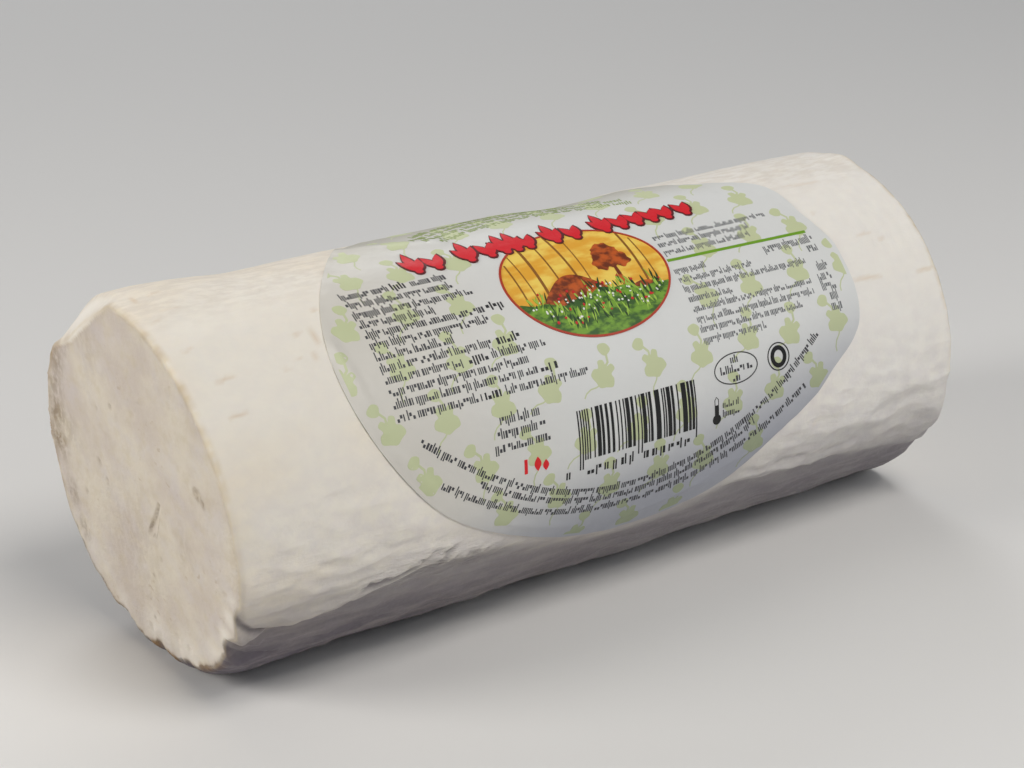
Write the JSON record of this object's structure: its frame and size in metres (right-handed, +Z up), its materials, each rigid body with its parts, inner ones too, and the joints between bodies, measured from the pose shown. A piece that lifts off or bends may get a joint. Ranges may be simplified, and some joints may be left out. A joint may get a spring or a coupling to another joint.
{
  "type": "goat cheese log",
  "caption": "Goat cheese log: a thick round white-rind cheese lying on its side, cut flat at both ends, with an oval film label stuck round its front and top.",
  "frame": {"origin": "middle of the underside: the centre of the bounding box at its bottom, on the flat spot that the log rests on", "axes": "+X along the log, away from the cut end that the picture shows; -Y towards the front, where the label is; +Z up"},
  "size_m": [0.1942, 0.08, 0.0786],
  "materials": {
    "rind": "soft matt bloomy rind, creamy white, with beige-grey cut paste at the ends",
    "label_film": "thin satin film, cool white, printed with pale green leaves and fields of colour"
  },
  "bodies": {
    "root": {"cheese_log": "rind", "label": "label_film"}
  },
  "joints": []
}
